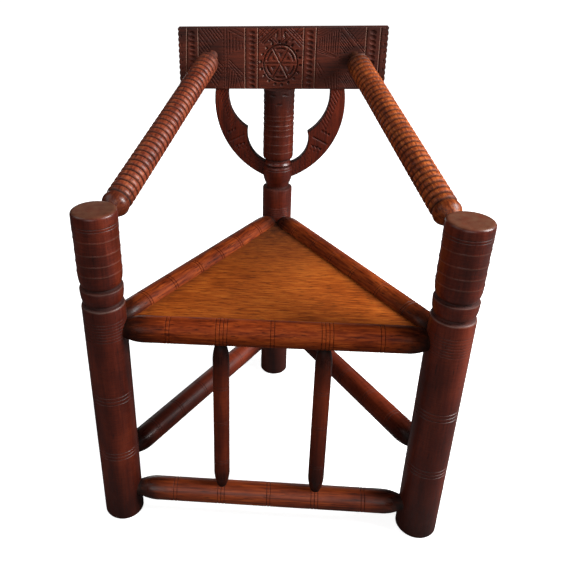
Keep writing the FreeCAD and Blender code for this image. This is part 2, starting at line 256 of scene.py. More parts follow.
def line_groups(places, pitch=6.0, half=0.9, depth=0.9):
    """Cuts for several groups of lines. places lists (centre, count)."""
    cuts = []
    for centre, count in places:
        cuts += line_group(centre, count, pitch, half, depth)
    return cuts


def fine_rings(centre, count, pitch):
    return line_group(centre, count, pitch, half=1.1, depth=0.4)


def raised_rings(heights, half, rise):
    return [(height, half, -rise) for height in heights]


def hollows(heights, depth, half=5.5):
    """Wide shallow cuts between the raised rings."""
    return [(height, half, depth) for height in heights]


# Carved work
RUB_HIGHLIGHT_GAIN = 1.5
CLEAN_DEPTH = 0.3
CARVED_DIRT_DEPTH = 3.0
CARVED_GRAIN_SHIFT = np.array([1.0, 0.4, 1.3])


class Carving:
    """A flat face as a grid of x and z, and how deep each point is cut."""

    def __init__(self, x, z):
        self.x = x
        self.z = z
        self.depth = np.zeros_like(x)
        self.grime_and_shade = np.zeros_like(x)
        self.wear_and_highlight = np.zeros_like(x)

    def cut(self, depth):
        """Sinks the face to a depth wherever it isn't deeper already."""
        self.depth = np.maximum(self.depth, depth)

    def stroke(self, points, half):
        """A mask along a list of points, 1 in its middle and 0 past its half width."""
        mask = np.zeros_like(self.x)
        for (x, z), (to_x, to_z) in zip(points[:-1], points[1:]):
            run = max(math.hypot(to_x - x, to_z - z), 0.01)
            along = ((self.x - x) * (to_x - x) + (self.z - z) * (to_z - z)) / run
            along = np.clip(along, 0, run)
            away = np.hypot(self.x - x - along * (to_x - x) / run, self.z - z - along * (to_z - z) / run)
            mask = np.maximum(mask, np.clip(1 - away / half, 0, 1))
        return mask

    def groove(self, points, half, depth):
        """A V groove through a list of points."""
        self.cut(depth * self.stroke(points, half))

    def rub_and_highlight(self, points, half, strength):
        """A pale line through a list of points: an edge polished by use, and a painted highlight."""
        pale_stroke = np.clip(RUB_HIGHLIGHT_GAIN * self.stroke(points, half), 0, 1)
        self.wear_and_highlight = np.maximum(self.wear_and_highlight, strength * pale_stroke)

    def hatch(self, first, last, count, half=1.2, depth=0.9):
        """Grooves shared out evenly from a first line to a last one."""
        for share in np.linspace(0, 1, count):
            ends = [(a + share * (c - a), b + share * (d - b)) for (a, b), (c, d) in zip(first, last)]
            self.groove(ends, half, depth)

    def gouge(self, x, z, angle, length, width, depth, lean=0.0):
        """A spoon-shaped cut. Its deepest point leans towards one end."""
        cos = math.cos(math.radians(angle))
        sin = math.sin(math.radians(angle))
        along = ((self.x - x) * cos + (self.z - z) * sin) / (length / 2)
        across = ((self.z - z) * cos - (self.x - x) * sin) / (width / 2)
        inside = np.clip(1 - along ** 2 - across ** 2, 0, 1)
        self.cut(depth * np.sqrt(inside) * np.clip(1 + lean * along, 0, 2))

    def chip(self, corners, depth, slope=0.9):
        """A pit in a convex polygon, sloping in from all its sides."""
        inside = np.full_like(self.x, np.inf)
        for (x, z), (to_x, to_z) in zip(corners, corners[1:] + corners[:1]):
            run = math.hypot(to_x - x, to_z - z)
            away = ((to_x - x) * (self.z - z) - (to_z - z) * (self.x - x)) / run
            inside = np.minimum(inside, away)
        self.cut(np.clip(inside * slope, 0, depth))


def slab(node, carving, half_depth, material, seed, along_x):
    """A flat piece on the rear post's leaning axis, whose front face is the carved grid.

    half_depth is measured from that axis, and along_x says that the grain
    runs from side to side.
    """
    rows, columns = carving.x.shape
    face = np.stack([carving.x, carving.depth - half_depth, carving.z], axis=-1)
    ends = face[:, [0, -1], :].copy()
    ends[..., 1] = half_depth
    points = np.concatenate([face.reshape(-1, 3), ends.reshape(-1, 3)])
    corner = rows * columns
    row = np.arange(rows - 1)
    left = corner + 2 * row
    right = corner + 2 * row + 1
    last = row * columns + columns - 1
    quads = [quads_between(rows, columns, False)]
    quads.append(np.stack([right, left, left + 2, right + 2], axis=-1))
    quads.append(np.stack([left, row * columns, (row + 1) * columns, left + 2], axis=-1))
    quads.append(np.stack([last, right, right + 2, last + columns], axis=-1))
    bottom = [corner, corner + 1] + list(range(columns))[::-1]
    top = [corner + 2 * rows - 1, corner + 2 * rows - 2]
    top += list(range((rows - 1) * columns, rows * columns))
    grain = points[:, [2, 1, 0]] if along_x else points
    grain = grain * MM + seed * CARVED_GRAIN_SHIFT
    lean = np.array(Matrix.Rotation(LEAN[REAR], 3, "Y"))
    placed = (points @ lean.T + np.array(FEET[REAR])) * MM
    name = node + "_carved"
    mesh = build_mesh(name, placed, np.concatenate(quads), [bottom, top])
    grime_and_shade = np.clip((carving.depth - CLEAN_DEPTH) / CARVED_DIRT_DEPTH, 0, 1)
    grime_and_shade = np.maximum(carving.grime_and_shade, grime_and_shade) * (1 - carving.wear_and_highlight)
    rest = np.zeros(2 * rows)
    grime_and_shade = np.concatenate([grime_and_shade.ravel(), rest])
    wear_and_highlight = np.concatenate([carving.wear_and_highlight.ravel(), rest])
    set_attributes(mesh, grain, grime_and_shade, wear_and_highlight, np.zeros(len(points)))
    finish_piece(name, mesh, material, node)


# Materials
def srgb(red, green, blue):
    """A colour written as 0 to 255 per channel, for a shader socket."""
    def linear(value):
        value /= 255
        return value / 12.92 if value <= 0.04045 else ((value + 0.055) / 1.055) ** 2.4
    return (linear(red), linear(green), linear(blue), 1.0)


class Shader:
    """A material with short calls to add and join its nodes."""

    def __init__(self, name):
        self.material = bpy.data.materials.new(name)
        self.material.use_nodes = True
        self.tree = self.material.node_tree
        self.surface = self.tree.nodes["Principled BSDF"]

    def set(self, node, socket, value):
        """Joins an input to another node's output, or gives it a value."""
        if isinstance(value, bpy.types.NodeSocket):
            self.tree.links.new(value, node.inputs[socket])
        else:
            node.inputs[socket].default_value = value

    def fill(self, node, **inputs):
        """Sets a node's inputs by name, with underscores for spaces."""
        for socket, value in inputs.items():
            self.set(node, socket.replace("_", " "), value)

    def node(self, kind, **inputs):
        node = self.tree.nodes.new(kind)
        self.fill(node, **inputs)
        return node

    def maths(self, operation, first, second=0.0):
        node = self.tree.nodes.new("ShaderNodeMath")
        node.operation = operation
        self.set(node, 0, first)
        self.set(node, 1, second)
        return node.outputs[0]

    def vector(self, operation, first, second):
        node = self.tree.nodes.new("ShaderNodeVectorMath")
        node.operation = operation
        self.set(node, 0, first)
        self.set(node, 1, second)
        return node.outputs["Value"]

    def remap(self, value, low, high, to_low=0.0, to_high=1.0):
        node = self.node("ShaderNodeMapRange", Value=value, From_Min=low, From_Max=high,
                         To_Min=to_low, To_Max=to_high)
        return node.outputs[0]

    def mix(self, share, first, second):
        """A blend of two colours, which are a mix node's sockets 6 and 7."""
        node = self.tree.nodes.new("ShaderNodeMix")
        node.data_type = "RGBA"
        self.set(node, 0, share)
        self.set(node, 6, first)
        self.set(node, 7, second)
        return node.outputs[2]

    def noise(self, place, stretch, scale, detail, distortion=0.0):
        """Noise of a scale across the grain, drawn out along it."""
        mapping = self.node("ShaderNodeMapping", Vector=place, Scale=(1, 1, stretch))
        node = self.node("ShaderNodeTexNoise", Vector=mapping.outputs[0], Scale=scale,
                         Detail=detail, Roughness=0.6, Distortion=distortion)
        return node.outputs["Fac"]

    def attribute(self, name, output):
        node = self.tree.nodes.new("ShaderNodeAttribute")
        node.attribute_name = name
        return node.outputs[output]


# Grime between the seat and its rails, then round each post as a radius where it is darkest and how far it
# reaches, and the painted shade that darkens the seat in front of the rear post
SEAT_EDGE = 0.0135
SEAT_DIRT_REACH = 0.034
POST_GRIME = {LEFT: (0.035, 0.04), RIGHT: (0.035, 0.095), REAR: (0.031, 0.06)}
REAR_SHADE_FROM = 0.04
REAR_SHADE_TO = 0.30
SEAT_DIRT_FADE = 1.6


def seat_grime_and_shade(shader, spot):
    """Grime along the rails and round the posts, and painted shade towards the rear post, from their
    distances.
    """
    grime_and_shade = 0.0
    for side, other, inward in ((LEFT, RIGHT, 1), (LEFT, REAR, -1), (RIGHT, REAR, 1)):
        start = on_post(side, RAIL_HEIGHT) * MM
        run = (on_post(other, RAIL_HEIGHT) * MM - start).normalized()
        normal = inward * Vector((-run.y, run.x, 0))
        away = shader.maths("SUBTRACT", shader.vector("DOT_PRODUCT", spot, normal), normal.dot(start))
        near = shader.remap(away, SEAT_EDGE, SEAT_EDGE + SEAT_DIRT_REACH, 0.8, 0.0)
        grime_and_shade = shader.maths("MAXIMUM", near, grime_and_shade)
    for side, (radius, reach) in POST_GRIME.items():
        away = shader.vector("DISTANCE", spot, on_post(side, RAIL_HEIGHT) * MM)
        grime_and_shade = shader.maths("MAXIMUM", shader.remap(away, radius, radius + reach, 0.9, 0.0), grime_and_shade)
    away = shader.vector("DISTANCE", spot, on_post(REAR, RAIL_HEIGHT) * MM)
    shade = shader.remap(away, REAR_SHADE_FROM, REAR_SHADE_TO, 1.0, 0.0)
    return shader.maths("MAXIMUM", shader.maths("POWER", grime_and_shade, SEAT_DIRT_FADE), shade)


POST_TOP = 0.603
POST_TOP_BAND = 0.006
DUST_SCALE = 70


def post_top_dust_and_sheen(shader, place, spot):
    """Mottled end grain and dust with a painted sheen on what faces up at the height of the front posts'
    tops.
    """
    normal = shader.node("ShaderNodeNewGeometry").outputs["Normal"]
    upward = shader.node("ShaderNodeSeparateXYZ", Vector=normal).outputs[2]
    upturned = shader.remap(upward, 0.5, 0.98)
    height = shader.node("ShaderNodeSeparateXYZ", Vector=spot).outputs[2]
    from_top = shader.maths("ABSOLUTE", shader.maths("SUBTRACT", height, POST_TOP))
    on_top = shader.maths("LESS_THAN", from_top, POST_TOP_BAND)
    mottling = shader.remap(shader.noise(place, 1, DUST_SCALE, 3), 0.35, 0.65, 0.35, 0.95)
    return shader.maths("MULTIPLY", shader.maths("MULTIPLY", upturned, on_top), mottling)


# Colours for grime with painted shade, for pale worn edges with painted highlights, for end grain and dust
# with a painted sheen, and for handled places; how much rougher grime makes it, and how smooth handling
# leaves it
GRIME_AND_SHADE = srgb(24, 8, 4)
PALE_WEAR_AND_HIGHLIGHT = srgb(190, 150, 130)
END_GRAIN_DUST_AND_SHEEN = srgb(106, 70, 52)
PATINA = srgb(38, 14, 9)
DULLING = 0.5
POLISHED = 0.2

# Scales of the noises, in repeats per metre
FIGURE_SCALE = 38
STREAK_SCALE = 300
PORE_SCALE = 560
STAIN_SCALE = 14
LATHE_SCALE = 60
BROKEN_SCALE = 120


def oak(name, dark, middle, light, roughness, shine, contrast=0.12, figured=0.45, turning=0.0, flecks=1.0,
        pores=0.56, fineness=1.0, own_axes=True):
    """Old waxed oak. dark, middle and light are the figure's three tones.

    A smaller contrast parts the tones more sharply. figured is the share of
    broad figure over fine streaks, and turning is how strongly the marks of
    the lathe show. flecks above 1 shortens the streaks, fineness above 1
    thins them, and a lower pores opens more of them.

    Pieces that the CAD made have no axes of their own for the grain, so
    theirs runs along X and they get grime where the seat meets its frame,
    with painted shade in front of the rear post.
    """
    shader = Shader(name)
    spot = shader.node("ShaderNodeTexCoord").outputs["Object"]
    if own_axes:
        place = shader.attribute("grain", "Vector")
        grime_and_shade = shader.attribute("grime_and_shade", "Fac")
        wear_and_highlight = shader.attribute("wear_and_highlight", "Fac")
        polish = shader.attribute("polish", "Fac")
    else:
        place = shader.node("ShaderNodeMapping", Vector=spot, Rotation=(0, math.pi / 2, 0)).outputs[0]
        grime_and_shade = seat_grime_and_shade(shader, spot)
        wear_and_highlight = 0.0
        polish = 0.0

    # The tone, from broad figure, fine streaks, stains and the lathe's marks
    figure = shader.noise(place, 0.10 * flecks, FIGURE_SCALE, 4, distortion=0.8)
    streaks = shader.noise(place, 0.05 * flecks, STREAK_SCALE * fineness, 3)
    fine = shader.noise(place, 0.06 * flecks, PORE_SCALE * fineness, 2)
    stains = shader.noise(place, 0.5, STAIN_SCALE, 2)
    lathe = shader.noise(place, 14, LATHE_SCALE, 2)
    parts = (
        (figure, figured * (1 - 0.45 * turning)),
        (streaks, (0.75 - figured) * (1 - 0.5 * turning)),
        (stains, 0.25 + 0.15 * turning),
        (lathe, 0.2 * turning),
    )
    tone = 0.0
    for part, share in parts:
        tone = shader.maths("ADD", shader.maths("MULTIPLY", part, share), tone)
    low = shader.mix(shader.remap(tone, 0.5 - contrast, 0.5), dark, middle)
    colour = shader.mix(shader.remap(tone, 0.5, 0.5 + contrast), low, light)

    # Open pores, worn edges with painted highlights, dust with a painted sheen, polish, and grime with
    # painted shade
    pore = shader.remap(fine, pores, pores + 0.12, 0.0, 0.75)
    colour = shader.mix(pore, colour, GRIME_AND_SHADE)
    colour = shader.mix(wear_and_highlight, colour, PALE_WEAR_AND_HIGHLIGHT)
    if turning:
        colour = shader.mix(post_top_dust_and_sheen(shader, place, spot), colour, END_GRAIN_DUST_AND_SHEEN)
    broken = shader.remap(shader.noise(place, 0.6, BROKEN_SCALE, 3), 0.3, 0.6, 0.75, 1.0)
    soiled_and_shaded = shader.maths("MULTIPLY", grime_and_shade, broken)
    colour = shader.mix(shader.maths("MULTIPLY", polish, broken), colour, PATINA)
    colour = shader.mix(soiled_and_shaded, colour, GRIME_AND_SHADE)

    # Grime and painted shade are duller, polish smoother, and pores are pits
    rough = shader.remap(streaks, 0.3, 0.7, roughness, roughness + 0.12)
    rough = shader.maths("ADD", rough, shader.maths("MULTIPLY", soiled_and_shaded, DULLING))
    rough = shader.maths("SUBTRACT", rough, shader.maths("MULTIPLY", polish, roughness - POLISHED))
    height = shader.maths("MULTIPLY", streaks, 0.5)
    height = shader.maths("ADD", height, shader.maths("MULTIPLY", pore, -0.6))
    height = shader.maths("ADD", height, shader.maths("MULTIPLY", lathe, 0.8 * turning))
    bump = shader.node("ShaderNodeBump", Strength=0.25, Distance=0.0006, Height=height)
    shader.fill(shader.surface, Base_Color=colour, Roughness=rough, Specular_IOR_Level=shine,
                Normal=bump.outputs[0])
    return shader.material


post_oak = oak("post_oak", srgb(48, 14, 8), srgb(80, 26, 14), srgb(114, 44, 24),
               roughness=0.28, shine=0.4, turning=1.0, pores=0.62)
rail_oak = oak("rail_oak", srgb(80, 24, 7), srgb(132, 52, 17), srgb(168, 76, 28),
               roughness=0.5, shine=0.1, figured=0.25, flecks=2.0, pores=0.57)
side_rail_oak = oak("side_rail_oak", srgb(74, 22, 6), srgb(118, 46, 14), srgb(152, 68, 24),
                    roughness=0.5, shine=0.1, figured=0.25, flecks=2.0, pores=0.57)
lower_oak = oak("lower_oak", srgb(54, 16, 7), srgb(88, 29, 12), srgb(122, 46, 20),
                roughness=0.4, shine=0.24, turning=1.0, pores=0.62)
stretcher_oak = oak("stretcher_oak", srgb(84, 28, 10), srgb(138, 56, 20), srgb(176, 82, 30),
                    roughness=0.4, shine=0.4, figured=0.3)
# The arms' oak comes in a darker copy for the left and a lighter, warmer copy for the right: painted shade
# and painted light for how the window light falls on each
left_arm_oak_shaded = oak("left_arm_oak_shaded", srgb(78, 26, 12), srgb(126, 54, 30), srgb(158, 82, 48),
                   roughness=0.38, shine=0.36, figured=0.25, flecks=3.0, pores=0.58)
right_arm_oak_lit = oak("right_arm_oak_lit", srgb(94, 35, 14), srgb(154, 70, 30), srgb(200, 108, 50),
                    roughness=0.4, shine=0.2, contrast=0.11, figured=0.2, flecks=3.0, pores=0.57)
board_oak = oak("board_oak", srgb(56, 20, 12), srgb(92, 36, 20), srgb(122, 50, 28),
                roughness=0.4, shine=0.28)
brace_oak = oak("brace_oak", srgb(60, 16, 6), srgb(94, 29, 10), srgb(122, 42, 16),
                roughness=0.45, shine=0.28)
seat_oak = oak("seat_oak", srgb(124, 54, 14), srgb(162, 78, 24), srgb(184, 98, 34),
               roughness=0.5, shine=0.12, figured=0.04, flecks=1.6, pores=0.555, fineness=1.1,
               own_axes=False)
peg_oak = oak("peg_oak", srgb(60, 30, 22), srgb(84, 42, 30), srgb(104, 56, 40),
              roughness=0.4, shine=0.4, contrast=0.14, own_axes=False)

# Front posts: the outline below the head, and the head's rounded edge as
# drops from its top with their radii
FRONT_RADIUS = 34.9
FRONT_HEAD_RADIUS = 35.7
FRONT_HEIGHT = {LEFT: 604.0, RIGHT: 602.8}
front_outline = [
    (0, 31.9), (1.0, 33.5), (3.0, FRONT_RADIUS), (200, FRONT_RADIUS), (441.0, FRONT_RADIUS),
    (443.3, 34.3), (444.6, 33.0), (445.2, 30.1), (449.2, 29.5), (449.8, 31.0), (453.0, 32.7),
    (458.0, 33.9), (465.0, 34.6), (473.6, 34.9), (474.8, 34.3), (475.4, 32.9), (476.0, 30.4),
    (478.6, 30.2), (480.2, 31.4), (483.0, 32.7), (487.0, 33.9), (491.5, 34.7), (498.0, 35.2),
    (570.0, 35.2), (574.0, FRONT_HEAD_RADIUS)]
HEAD_EDGE = ((5.5, FRONT_HEAD_RADIUS), (3.2, 35.2), (1.6, 34.1), (0.7, 32.7), (0.15, 30.6), (0, 28.0),
             (-0.01, 4.0))
front_cuts = line_groups(((150, 3), (270, 3)), pitch=7) + fine_rings(403.5, 7, 5.4)
front_cuts += line_group(582.5, 2, 4.6, depth=0.5)
front_cuts += raised_rings((505, 522.5, 541, 562.5), 1.9, 0.5)
front_cuts += hollows((512, 531, 551), 0.25)
front_dirt = [(447, 6, 1.0), (477.5, 5, 1.0), (0, 14, 0.6)]
# Pale lines at the shoulders: edges polished by use, with a painted highlight
front_wear_and_highlight = [(443.0, 1.1, 0.22), (474.6, 0.9, 0.15)]
for side, node in ((LEFT, "front_left_post"), (RIGHT, "front_right_post")):
    height = FRONT_HEIGHT[side]
    head = [(height - drop, radius) for drop, radius in HEAD_EDGE]
    turned(node, on_post(side, 0), on_post(side, height), front_outline + head, front_cuts, front_dirt,
           post_oak, seed=1.3 + side, worn_and_highlighted=front_wear_and_highlight)

# Rear post. The chips on its head are x, height and tilt in degrees.
REAR_RADIUS = 30.7
REAR_HEAD = 31.1
CARVED_LOW = 596.0
SHOULDER = 681.3
SCALLOP_PITCH = 11.6
SCALLOP_DEPTH = 0.9
HEAD_CHIPS = ((-12, 671.5, -6), (12, 672.5, -12), (0, 654.5, 4))
HEAD_DIRT_DEPTH = 1.4
SHAFT_TOP = 480.0
BACK_FLATTENED = 0.9


def carve_rear_head(heights, radii, angles, grime_and_shade):
    """Scallops down both sides, chips on the front, and a back planed to the shaft's depth."""
    x = radii * np.cos(angles)
    face = Carving(x, heights + 0 * angles)
    for chip_x, chip_z, tilt in HEAD_CHIPS:
        face.gouge(chip_x, chip_z, tilt, length=13, width=4.4, depth=1.5)
    for line in ([(25.5, 680), (18, 640)], [(-26, 680), (-26, 600)]):
        face.groove(line, half=1.3, depth=0.9)
    frontward = np.clip(-4 * np.sin(angles), 0, 1)
    phase = (heights - CARVED_LOW) / SCALLOP_PITCH
    notch = (0.5 - 0.5 * np.cos(2 * math.pi * phase)) ** 2
    notch = np.where(heights > CARVED_LOW, notch, 0)
    sideways = np.clip((np.abs(np.cos(angles)) - 0.8) / 0.15, 0, 1)
    depth = np.maximum(face.depth * frontward, SCALLOP_DEPTH * notch * sideways)
    planed = BACK_FLATTENED * np.clip(np.sin(angles), 0, 1) ** 2 * (heights > SHAFT_TOP)
    soiled_and_shaded = np.clip(depth / HEAD_DIRT_DEPTH, 0, 1) * LINE_DIRT
    return radii - depth - planed, np.maximum(grime_and_shade, soiled_and_shaded)


rear_outline = [
    (0, 27.7), (1.0, 29.3), (3.0, REAR_RADIUS), (200, REAR_RADIUS), (440, REAR_RADIUS),
    (469.5, REAR_RADIUS), (471.2, 30.2), (472.2, 28.6), (472.6, 23.4), (476.5, 23.0), (480.0, 24.4),
    (485.0, 26.6), (491.0, 28.7), (498.0, 30.2), (505.0, 30.9), (512.0, 30.9), (517.0, 30.4),
    (519.6, 29.4), (520.4, 27.0), (521.0, 25.6), (522.4, 25.8), (523.4, 28.0), (525.0, 28.6),
    (526.4, 27.8), (528.0, 26.6), (531.0, 26.0), (535.4, 26.0), (536.0, 27.6), (537.6, 29.8),
    (540.0, 30.8), (545.0, REAR_HEAD), (CARVED_LOW, REAR_HEAD)]
rear_outline += [(CARVED_LOW + step, REAR_HEAD) for step in range(1, int(SHOULDER - CARVED_LOW) + 1)]
rear_outline += [(SHOULDER - 0.05, REAR_HEAD), (SHOULDER, 15.0)]
rear_cuts = fine_rings(422, 5, 4.5) + [(514.0, 0.9, 0.6)]
rear_cuts += raised_rings((552.5, 570, 588, 601, 609.5, 621, 629), 1.8, 0.45)
rear_cuts += hollows((561, 579, 594, 615), 0.35)
# The last band is a painted shade on the head under the board and braces
rear_grime_and_shade = [(474, 5, 1.0), (521.5, 2.5, 1.0), (536, 4, 0.9), (0, 12, 0.6), (690, 70, 0.7)]
turned("rear_post", on_post(REAR, 0), on_post(REAR, SHOULDER), rear_outline, rear_cuts, rear_grime_and_shade,
       post_oak, seed=4.1, shape=carve_rear_head, sides=2 * SIDES)

# Rails, stretchers and spindles. Their ends are drawn a little way into what
# they meet, and their joints are dark with grime and with handling.
END_INSIDE = 6.0
BOW_SHARE = 0.14
LEAST_BOW = 0.8
JOINT_GRIME_HALF = 16
JOINT_GRIME = 0.9
JOINT_POLISH = 0.92


def bar(node, start, end, near, far, radius, end_radius, taper, cuts, material, seed, reach=2.0):
    """A round bar with swelling tapers. near and far are the joints' insets.

    reach is how many tapers the dark polish of its first end goes on for.
    """
    low = near
    high = (end - start).length - far
    bow = BOW_SHARE * (radius - end_radius) + LEAST_BOW
    outline = [(low - END_INSIDE, end_radius - 1), (low, end_radius)]
    outline += swell(low, end_radius, low + taper, radius, bow)
    outline += [(high - taper, radius)] + swell(high - taper, radius, high, end_radius, bow)
    outline += [(high + END_INSIDE, end_radius - 1)]
    grime_and_shade_bands = [(height, JOINT_GRIME_HALF, JOINT_GRIME) for height in (low, high)]
    polished = [(low, reach * taper, JOINT_POLISH), (high, 2 * taper, JOINT_POLISH)]
    turned(node, start, end, outline, cuts, grime_and_shade_bands, material, seed, polished=polished)


# Pairs of lines along the side rails and the side stretchers
SIDE_LINES = [(centre, 2) for centre in (91, 158, 232, 298, 361, 431)]

RAIL_RADIUS = 22.0
RAIL_END = 16.8
RAIL_TAPER = 30.0
front_rail_cuts = line_groups(((103, 2), (188.7, 4), (269, 2), (354.5, 4), (439, 2)))
side_rail_cuts = line_groups(SIDE_LINES, half=1.1, depth=1.0)
bar("front_seat_rail", on_post(LEFT, RAIL_HEIGHT), on_post(RIGHT, RAIL_HEIGHT), FRONT_RADIUS, FRONT_RADIUS,
    RAIL_RADIUS, RAIL_END, RAIL_TAPER, front_rail_cuts, rail_oak, 2.2)
for node, side, seed, reach in (("left_seat_rail", LEFT, 3.3, 2.0), ("right_seat_rail", RIGHT, 5.9, 3.6)):
    bar(node, on_post(side, RAIL_HEIGHT), on_post(REAR, RAIL_HEIGHT), FRONT_RADIUS, REAR_RADIUS,
        RAIL_RADIUS, RAIL_END, RAIL_TAPER, side_rail_cuts, side_rail_oak, seed, reach)

STRETCHER_RADIUS = 21.0
STRETCHER_END = 14.0
STRETCHER_TAPER = 32.0
STRETCHER_HEIGHT = 55.2
# How far the front stretcher stands in front of its posts' axes
FORWARD = Vector((0, -5.0, 0))
front_stretcher_cuts = line_groups(((101, 2), (183, 3), (267.5, 2), (348.5, 3), (433, 2)))
side_stretcher_cuts = line_groups(SIDE_LINES, half=1.0, depth=0.5)
low = on_post(LEFT, STRETCHER_HEIGHT) + FORWARD
high = on_post(RIGHT, STRETCHER_HEIGHT) + FORWARD
bar("front_stretcher", low, high, FRONT_RADIUS, FRONT_RADIUS,
    STRETCHER_RADIUS, STRETCHER_END, STRETCHER_TAPER, front_stretcher_cuts, stretcher_oak, 6.4)
SIDE_STRETCHERS = (("left_stretcher", LEFT, 117.5, 7.7), ("right_stretcher", RIGHT, 166.5, 8.8))
for node, side, height, seed in SIDE_STRETCHERS:
    bar(node, on_post(side, height), on_post(REAR, height), FRONT_RADIUS, REAR_RADIUS,
        STRETCHER_RADIUS, STRETCHER_END, STRETCHER_TAPER, side_stretcher_cuts, lower_oak, seed)

SPINDLE_RADIUS = 13.8
SPINDLE_END = 8.8
SPINDLE_TAPER = 34.0
spindle_cuts = line_groups(((80, 2), (165, 2), (237, 2)), pitch=5.0, half=0.7, depth=0.5)
for node, seed in (("left_spindle", 9.1), ("right_spindle", 9.9)):
    x = node_centre(node).x
    low = Vector((x, FEET[LEFT].y, STRETCHER_HEIGHT)) + FORWARD
    high = Vector((x, FEET[LEFT].y, RAIL_HEIGHT))
    bar(node, low, high, STRETCHER_RADIUS, RAIL_RADIUS, SPINDLE_RADIUS, SPINDLE_END, SPINDLE_TAPER,
        spindle_cuts, lower_oak, seed)

# Arms: a slim foot and a bulb, then the beads, and a neck that meets the
# board. A bead is steps from its crown and drops from the arm's radius, and
# the neck is steps from the last groove and radii.
ARM_RADIUS = 22.5
ARM_END_RADIUS = 21.5
ARM_START = 563.0
ARM_END = {LEFT: Vector((-135.5, BOARD_FACE, 747.5)), RIGHT: Vector((134.5, BOARD_FACE, 747.5))}
BEAD_PITCH = 12.15
BEAD = ((-4.7, 1.3), (-3.4, 0.5), (-1.5, 0), (1.5, 0), (3.4, 0.5), (4.7, 1.3), (5.5, 2.9), (6.65, 2.9))
NECK = ((3.0, 20.6), (6.5, 19.4), (9.5, 16.6), (11.5, 13.0), (12.5, 10.6), (14, 10.0), (22, 10.0))
FIRST_GROOVE = 77.0
GROOVES = 33
LAST_GROOVE = FIRST_GROOVE + BEAD_PITCH * (GROOVES - 1)
BULB_FOOT = 42.0
BULB_CROWN = FIRST_GROOVE - 14
NECK_FOOT = LAST_GROOVE + 14
BOARD_JOINT = 487
ARM_LENGTH = 494
arm_outline = [(31.5, 10.5), (37, 10.5), (42, 11.0), (46, 12.2), (49.5, 13.9), (52.5, 15.8), (55.5, 18.0),
               (58.5, 20.1), (61.5, 21.7), (64.5, 22.5), (67.5, 22.7), (71, 22.2), (74, 21.2), (77, 20.0),
               (79, 21.4)]
for bead in range(GROOVES - 1):
    bead_radius = ARM_RADIUS + (ARM_END_RADIUS - ARM_RADIUS) * bead / GROOVES
    crown = FIRST_GROOVE + BEAD_PITCH * (bead + 0.5)
    arm_outline += [(crown + step, bead_radius - drop) for step, drop in BEAD]
arm_outline += [(LAST_GROOVE + step, radius) for step, radius in NECK] + [(ARM_LENGTH, 10.0)]
ARM_OAK = {LEFT: left_arm_oak_shaded, RIGHT: right_arm_oak_lit}
GROOVE_GRIME = {LEFT: 3.0, RIGHT: 4.0}
ARM_POLISH = {LEFT: [(BULB_CROWN, 32, 0.56)], RIGHT: [(BULB_CROWN, 32, 0.4), (500, 70, 0.85)]}
for side, node in ((LEFT, "left_arm"), (RIGHT, "right_arm")):
    arm_dirt = [(FIRST_GROOVE + BEAD_PITCH * bead, GROOVE_GRIME[side], 1.0) for bead in range(GROOVES)]
    # The last band darkens each arm over its last 70 mm towards the board
    arm_dirt += [(BULB_FOOT, 10, 0.8), (NECK_FOOT, 4, 0.8), (BOARD_JOINT, 7, 0.9), (BOARD_JOINT, 70, 0.7)]
    turned(node, on_post(side, ARM_START), ARM_END[side], arm_outline, [], arm_dirt,
           ARM_OAK[side], seed=11.0 + side, polished=ARM_POLISH[side])

# Back board: x is measured from the board's middle and z from its lower edge
BOARD_WIDTH = 401.0
BOARD_HEIGHT = 116.6
BOARD_SHIFT = 2.9
BOARD_STEP = 0.65
BOARD_HALF_DEPTH = 12.4
NOTCH_PITCH = BOARD_HEIGHT / 11
NOTCH_DEPTH = 1.2
NOTCH_REACH = 11.0

columns = int(BOARD_WIDTH / BOARD_STEP) + 1
rows = int(BOARD_HEIGHT / BOARD_STEP) + 1
board = Carving(*np.meshgrid(np.linspace(-BOARD_WIDTH / 2, BOARD_WIDTH / 2, columns),
                             np.linspace(0, BOARD_HEIGHT, rows)))

# Upright grooves between the panels, each as its lower and its upper x
PANEL_LINES = ((-187.5, -182.1), (-162.2, -160.5), (-70, -70), (-45.5, -45.5), (42.5, 42.5), (66, 66),
               (160, 160), (186.5, 186.5))
for low_x, high_x in PANEL_LINES:
    board.groove([(low_x, 0), (high_x, BOARD_HEIGHT)], half=1.8, depth=1.8)
    # Beside each groove a pale line: a worn edge and a painted highlight
    board.rub_and_highlight([(low_x - 1, 0), (high_x - 1, BOARD_HEIGHT)], half=0.9, strength=0.5)
board.groove([(-106.5, 0), (-106.5, BOARD_HEIGHT)], half=1.2, depth=1.0)

# Darker outwards from the middle panel, more on the right, and a painted shadow where each arm meets the
# board
UNDARKENED_HALF = 40
DARKENING_GROWTH = 60
ARM_SHADOW_HEIGHT = 64
ARM_SHADOW_RADIUS = 44
ARM_SHADOW_FADE = 26
outward = np.clip((np.abs(board.x) - UNDARKENED_HALF) / DARKENING_GROWTH, 0, 1)
board.grime_and_shade = np.where(board.x > 0, 0.5, 0.36) * outward
for x in (-137.5, 133.0):
    away = np.hypot(board.x - x, board.z - ARM_SHADOW_HEIGHT)
    board.grime_and_shade = np.maximum(board.grime_and_shade, 0.75 * np.clip((ARM_SHADOW_RADIUS - away) / ARM_SHADOW_FADE, 0, 1))

